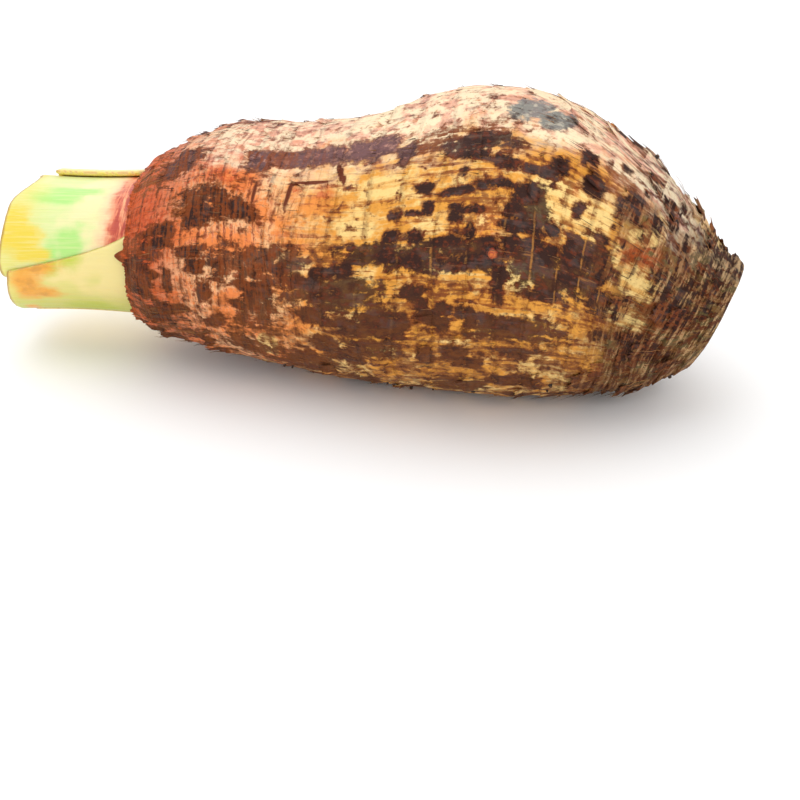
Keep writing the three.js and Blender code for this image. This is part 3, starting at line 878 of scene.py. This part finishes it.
# rib is the turn of the thickest place, reach the turn from it to the margins by the corm and at the cut;
# short, slant, round and foot trim the cut end; pad thickens the upper margin on its inner side;
# the colours are of the cut end, the green, the cream, the stains and the flush by the corm
stalks = [
    {"name": "backStalk", "node": "back_stalk", "rib": 190, "reach": (92, 92), "thick": 3.0, "short": 6.5,
     "slant": 0.1, "round": 5, "pad": 1.4,
     "colours": ("#f2cf52", "#f4e07c", "#f8e09a", "#d8a040", "#b06a28")},
    {"name": "lowerStalk", "node": "lower_stalk", "rib": -75, "reach": (106, 70), "thick": 12.0, "short": 4.5,
     "slant": 0.2, "round": 0, "colours": ("#e6cf60", "#bcc840", "#ecd990", "#ee9a1c", "#7c7a1c")},
    {"name": "upperStalk", "node": "upper_stalk", "rib": 100, "reach": (120, 112), "thick": 9.0, "short": 0,
     "slant": 0.1, "round": 10, "foot": 3.5,
     "colours": ("#e8cf46", "#a8e078", "#ece4ac", "#e8c050", "#e26a44")},
    {"name": "innerStalk", "node": "inner_stalk", "rib": -60, "reach": (125, 125), "thick": 5.0, "short": 7,
     "slant": 0.1, "round": 0, "colours": ("#d4ec84", "#c0ee90", "#f6f6cc", "#e0c860", "#ecd0a0")},
    {"name": "heartStalk", "node": "heart_stalk", "short": 8, "slant": 0, "round": 0,
     "colours": ("#bfe67a", "#b6ea84", "#f2f6c8", "#d8cc60", "#ecd8a8")},
]
# margin is painted crease shade along the stalks' margins
stalkColours = {
    "flushPale": "#f8c49c", "flushDeep": "#bc4a38", "flushStripe": "#fec692",
    "cutEdge": "#a87c3c", "margin": "#cf9a5c",
}
stalkGrid = {
    "across": 96, "rows": 40, "thickness": 8, "around": 120,
    "margin": 0.02,  # share of the width over which a margin closes
    "softened": 0.5,  # how far the cut's edges are rounded
    "cutBumps": 0.1,
    "nearCut": [0.972, 0.982, 0.99, 0.995, 0.998, 1.0],  # the last rows, closer together at the cut
}
stalkRibs = [(38, 0.3, 0.07), (57, 0.2, 0.05), (9, 1.5, 0.1), (5, 2.0, 0.12)]
# colours along the stalks: distance from the collar, turn, half length, half width, slant
stalkMarks = {
    "limeMarks": [
        (26, 18, 6, 9, 0), (36, 62, 12, 4, 0), (30, 70, 14, 3, 0), (22, -50, 12, 6, 0), (40, 150, 12, 14, 0),
        (28, 230, 14, 12, 0), (34, 8, 4, 8, 0),
    ],
    "yellowMarks": [
        (51, 32, 6, 11, 0), (46, 22, 8, 7, 0), (50, 120, 6, 12, 0), (49, 200, 7, 14, 0), (42, 10, 8, 3, 0),
        (50, -70, 7, 9, 0),
    ],
    "stainMarks": [
        (42, 1, 10, 4, 6), (46, -10, 6, 7, 0), (46, -22, 5, 6, 0), (39, -24, 6, 3.4, -8), (50, -55, 3, 4, 0),
        (50, 215, 3, 5, 0), (46, 160, 4, 2, 0),
    ],
}


def reachAt(stalk, station):
    # a station is a share of the longest stalk's length, from the collar
    return np.radians(stalk["reach"][0] + (stalk["reach"][1] - stalk["reach"][0]) * station**0.65)


def fullness(stalk, angle, station):
    # 1 on the rib, 0 from the margins on
    off = turnFrom(angle, math.radians(stalk["rib"])) / reachAt(stalk, station)
    return np.maximum(0, 1 - off * off) ** 1.5


def outsideOf(layer, angle, station):
    # the radius under all the stalks that lie outside this one
    full = bundle["radius"] + 0.6 * np.sin(2 * angle + 1) + 0.4 * np.sin(3 * angle + 2.5 * station)
    radius = 1 + full * (1 - 0.03 * np.sin(pi * station))
    for stalk in stalks[:layer]:
        radius = radius - (bundle["edge"] + stalk["thick"] * fullness(stalk, angle, station) + bundle["gap"])
    return radius


def stationOf(layer, angle, share):
    # how far a point is along the bundle, at a share of the way to its own stalk's slanting cut
    stalk = stalks[layer]
    up = outsideOf(layer, angle, 0.5) * np.sin(angle)
    high = np.clip((up - bundle["trimFrom"]) / (bundle["trimTo"] - bundle["trimFrom"]), 0, 1)
    foot = stalk.get("foot", 0) * np.clip((3 - up) / 11, 0, 1) ** 2
    trimmed = stalk["short"] + stalk["slant"] * up + stalk["round"] * high**2 + foot
    return share * (1 - trimmed / bundle["length"])


def stalkPoint(angle, radius, station):
    # round the bundle's axis, which leaves the collar's middle and drops a little towards the cut
    x = corm["collarX"] - bundle["gap"] - station * bundle["length"] + 0 * angle
    y = -radius * np.cos(angle)
    z = corm["belly"] * girths[0, 2] - bundle["drop"] * station + radius * np.sin(angle)
    return np.stack([x, y, z], -1)


def ribs(angle, station):
    # fine sines round the stalk, a little under the solid's surface
    return ripple(angle, station, stalkRibs, 21) - 0.12


def stalkPiece(layer, material):
    # across the crescent by the closed line of its section: out along the outside, over the cut, back inside
    stalk = stalks[layer]
    columns, rows, thick = stalkGrid["across"] + 1, stalkGrid["rows"], stalkGrid["thickness"]
    nearCut = stalkGrid["nearCut"]
    out = np.concatenate([np.linspace(0, 0.96, rows - len(nearCut)), nearCut])
    depth = np.linspace(0, 1, thick + 2)[1:-1]
    share = np.concatenate([out, np.ones(thick), out[::-1], np.zeros(thick)])[None, :]
    inward = np.concatenate([np.zeros(rows), depth, np.ones(rows), depth[::-1]])[None, :]
    soft = stalkGrid["softened"]
    rounding = soft * between(out, 0.965, 1) ** 2
    softened = np.concatenate([rounding, soft * (1 - 2 * depth), -rounding[::-1], np.zeros(thick)])[None, :]
    onCut = np.zeros(share.shape)
    onCut[:, rows:rows + thick] = 1
    # from margin to margin, with the columns closer together at both
    side = np.linspace(0, 1, columns)
    side = (0.3 * (1 - np.cos(pi * side)) / 2 + 0.7 * side)[:, None]
    rib = math.radians(stalk["rib"])
    nearly = rib + reachAt(stalk, share) * (2 * side - 1)
    angle = rib + reachAt(stalk, stationOf(layer, nearly, share)) * (2 * side - 1)
    station = stationOf(layer, angle, share)
    fromMargin = np.minimum(side, 1 - side)
    closed = np.sqrt(1 - (1 - np.clip(fromMargin / stalkGrid["margin"], 0, 1)) ** 2)
    pad = stalk.get("pad", 0) * (1 - between(angle, math.radians(140), math.radians(165)))
    wall = (bundle["edge"] + stalk["thick"] * fullness(stalk, angle, station) + pad) * closed
    radius = outsideOf(layer, angle, station) + ribs(angle, station) * closed
    radius = radius - 0.9 * bundle["edge"] * (1 - closed) - inward * wall
    radius = radius - softened * closed * np.minimum(1, wall / 2)
    points = stalkPoint(angle, radius, station)
    bumps = np.sin(pi * inward) * np.sin(37 * angle) * np.sin(23 * inward + 5 * angle)
    points[..., 0] += onCut * stalkGrid["cutBumps"] * bumps
    toMargin = fromMargin * 2 * reachAt(stalk, station) * bundle["radius"]
    fields = stalkFields(angle, station, radius, inward, np.maximum(onCut, inward > 0.5), share, toMargin)
    faces = gridFaces(columns, points.shape[1], True).tolist()
    piece = makePiece(stalk["name"], points.reshape(-1, 3), faces, material, stalk["node"], fields)
    closeSeams(piece)


def stalkFields(angle, station, radius, inward, onCut, toCut, toMargin):
    # what a stalk's material reads: its place, the share of the wall inward and of the length to the cut
    length = station * bundle["length"]
    shape = np.broadcast(angle, station).shape
    fields = {"stalkPlace": placeField(radius, angle, length)}
    for name, values in (("fromOutside", inward), ("onCut", onCut), ("toCut", toCut), ("toMargin", toMargin)):
        fields[name] = np.broadcast_to(values, shape).astype(float).ravel()
    for name, marks in stalkMarks.items():
        fields[name] = markField(marks, length, angle, 0.9, bundle["radius"]).ravel()
    return fields


def closeSeams(piece):
    # the margins of a crescent meet in a line of double points
    shell = bmesh.new()
    shell.from_mesh(piece.data)
    bmesh.ops.remove_doubles(shell, verts=shell.verts, dist=0.02 * mm)
    shell.to_mesh(piece.data)
    shell.free()


def heartPiece(material):
    # rings of points: the cut face, its rounded edge, the stalk, and its foot inside the collar
    columns, rows, layer = stalkGrid["around"], stalkGrid["rows"], len(stalks) - 1
    angle = (np.arange(columns) * 2 * pi / columns)[None, :]
    share = np.concatenate([np.ones(8), [0.998, 0.992, 0.98], np.linspace(0.96, 0, rows), np.zeros(3)])
    shrink = np.concatenate([np.linspace(0.08, 0.97, 8), [0.985, 0.995, 1.0], np.ones(rows), [0.9, 0.5, 0.1]])
    share, shrink = share[:, None], shrink[:, None]
    station = stationOf(layer, angle, share)
    radius = (outsideOf(layer, angle, station) + ribs(angle, station)) * shrink
    points = stalkPoint(angle, radius, station)
    faces = closedFaces(len(share), columns)
    fields = stalkFields(angle, station, radius, 1 - shrink, shrink < 0.98, share, 9.0)
    points, fields = addPoles(points, fields)
    makePiece(stalks[layer]["name"], points, faces, material, stalks[layer]["node"], fields)


def stalkMaterial(stalk):
    # cream by the corm, lime in the middle, yellow towards the cut, with a flush where it grows out
    own = zip(("end", "lime", "cream", "stain", "flush"), stalk["colours"])
    r = Recipe(stalk["name"], {**stalkColours, **dict(own)})
    place = r.vectorField("stalkPlace")
    side, length = r.parts(place)[1:]
    veins = r.grain(place, (1.4, 1.4, 0.04), 3, 0.55)
    clouds = r.grain(place, (0.07, 0.07, 0.05), 2, 0.5, (3, 7, 1))
    spots = r.grain(place, (0.2, 0.2, 0.14), 4, 0.6, (1, 5, 8))
    grain = r.grain(place, (3.0, 3.0, 3.0), 2, 0.5)
    cellPlace = r.stretch(place, (1.1, 1.1, 1.1))
    cells = r.node("ShaderNodeTexVoronoi", {"feature": "F1"}, {"Vector": cellPlace, "Scale": 1.0})
    loose = 0.8 * spots + 0.3 * veins
    colour = r.paint("cream", "lime", 0.35 * r.rise(clouds + 0.01 * (length - 30), -0.1, 0.1))
    colour = r.paint(colour, "lime", 0.9 * r.rise(r.field("limeMarks") + loose, 0.2, 0.9))
    colour = r.paint(colour, "end", 0.5 * r.rise(length + 16 * clouds, 36, 52))
    colour = r.paint(colour, "end", r.rise(r.field("yellowMarks") + loose, 0.2, 0.8))
    colour = r.paint(colour, "cream", 0.3 * r.rise(veins, -0.05, 0.15))
    if stalk["name"] == "lowerStalk":
        stains = r.field("stainMarks")
        colour = r.paint(colour, "lime", 0.7 * (1 - r.rise(side, -24, -8)))
        colour = r.paint(colour, "flush", 1 - r.rise(side + 5 * spots, -30, -23))
        colour = r.paint(colour, "stain", 0.85 * r.rise(stains + 1.1 * loose, 0.05, 0.95))
        colour = r.paint(colour, "cutEdge", 0.35 * r.rise(stains + 2.0 * spots, 0.7, 1.2))
    elif stalk["name"] == "upperStalk":
        # the flush is longest on the side, in tongues, and short on top
        bands = r.grain(place, (0.1, 0.1, 0.5), 3, 0.6, (5, 2, 3))
        base = 4.5 + 6.0 * r.rise(side, -2, 10) - 2.5 * r.rise(side, 24, 30)
        reach = base + 3 * veins + 9 * spots - length
        colour = r.paint(colour, "flushPale", 0.8 * r.rise(reach, -7, 0))
        colour = r.paint(colour, "flush", 0.85 * r.rise(reach, -2.5, 3))
        colour = r.paint(colour, "flushDeep", r.rise(reach, -1, 4) * r.rise(bands, -0.05, 0.1))
        colour = r.paint(colour, "flushStripe", 0.7 * r.rise(reach, 0, 5) * (1 - r.rise(bands, -0.12, 0.0)))
    else:
        colour = r.paint(colour, "stain", 0.5 * r.rise(length, 30, 42) * r.rise(spots, 0.0, 0.2))
        colour = r.paint(colour, "flush", 0.8 * (1 - r.rise(length + 4 * veins + 5 * spots, 1, 8)))
    cut = r.field("onCut")
    # painted shade: a brownish line along each margin, where the crease between the stalks lies
    margin = (1 - r.rise(r.field("toMargin") + 0.5 * spots, 0.3, 0.9)) * (1 - cut)
    colour = r.paint(colour, "margin", 0.6 * margin)
    edge = r.rise(r.field("toCut") + 0.02 * spots, 0.972, 0.994) * (1 - cut)
    colour = r.paint(colour, "cutEdge", 0.8 * edge)
    pith = r.paint("cream", "lime", r.rise(r.field("fromOutside") + 0.3 * clouds, 0.1, 0.9))
    pith = r.paint(pith, "end", 0.35 * r.rise(cells, 0.2, 0.6))
    colour = r.paint(colour, pith, cut)
    height = 0.35 * veins + 0.1 * grain + 0.5 * cut * r.rise(cells, 0.15, 0.6)
    return r.finish(colour, 0.34 + 0.25 * cut + 0.15 * spots, height, 0.5,
                    Subsurface_Weight=0.25, Subsurface_Radius=(0.004, 0.003, 0.0015), Subsurface_Scale=1.0)


# The table, the light and the camera

light = {
    "sky": 0.84, "aim": (0, 0, 0.05),
    "keyPanel": {"place": (-0.3, 0.25, 1.0), "size": (2.0, 2.0), "power": 9.5},
    "fillPanel": {"place": (0.5, -1.0, 0.7), "size": (1.0, 0.8), "power": 4.0},
}
camera = {"place": (0.13933, -0.58900, 0.30379), "azimuth": 12.0, "down": 28.0, "lens": 72.0, "sensor": 36}
tableTop = {"half": 6, "under": 0.0004, "colour": "#fbfbfb", "rough": 0.9}


def setTable():
    # one plain square, just under the root
    half, low = tableTop["half"], -tableTop["under"]
    corners = [(-half, -half, low), (half, -half, low), (half, half, low), (-half, half, low)]
    mesh = bpy.data.meshes.new("table")
    mesh.from_pydata(corners, [], [(0, 1, 2, 3)])
    mesh.materials.append(Recipe("tableTop", {}).finish(tint(tableTop["colour"]), tableTop["rough"]))
    addObject("table", mesh)


def addLight(name):
    # a panel whose back is turned away from the root
    panel = light[name]
    lamp = bpy.data.lights.new(name, "AREA")
    lamp.shape = "RECTANGLE"
    lamp.size, lamp.size_y = panel["size"]
    lamp.energy = panel["power"]
    holder = addObject(name, lamp)
    holder.location = panel["place"]
    x, y, z = np.array(light["aim"]) - np.array(panel["place"])
    holder.rotation_euler = (math.atan2(math.hypot(x, y), -z), 0, math.atan2(-x, y))


def setLight():
    # an even sky and two soft panels
    world = bpy.data.worlds.new("softRoom")
    bpy.context.scene.world = world
    world.use_nodes = True
    back = world.node_tree.nodes["Background"]
    back.inputs["Color"].default_value = (1, 1, 1, 1)
    back.inputs["Strength"].default_value = light["sky"]
    addLight("keyPanel")
    addLight("fillPanel")


def setCamera():
    # turned round the upright axis, then down
    data = bpy.data.cameras.new("camera")
    data.lens = camera["lens"]
    data.sensor_width = camera["sensor"]
    holder = addObject("camera", data)
    holder.location = camera["place"]
    holder.rotation_euler = (math.radians(90 - camera["down"]), 0, math.radians(camera["azimuth"]))
    bpy.context.scene.camera = holder


bpy.context.scene.view_settings.view_transform = "Standard"
setCamera()
setLight()
setTable()
print("camera, light and table set")
skin = skinMaterial()
cormPiece(skin)
print("corm skin made,", rings, "rings")
flakePiece(skin)
fibrePiece(fibreMaterial())
stubPiece(stubMaterial())
budPiece(budMaterial())
print("root stubs and bud tips made")
for layer, stalk in enumerate(stalks[:-1]):
    stalkPiece(layer, stalkMaterial(stalk))
heartPiece(stalkMaterial(stalks[-1]))
print("leaf stalks made")
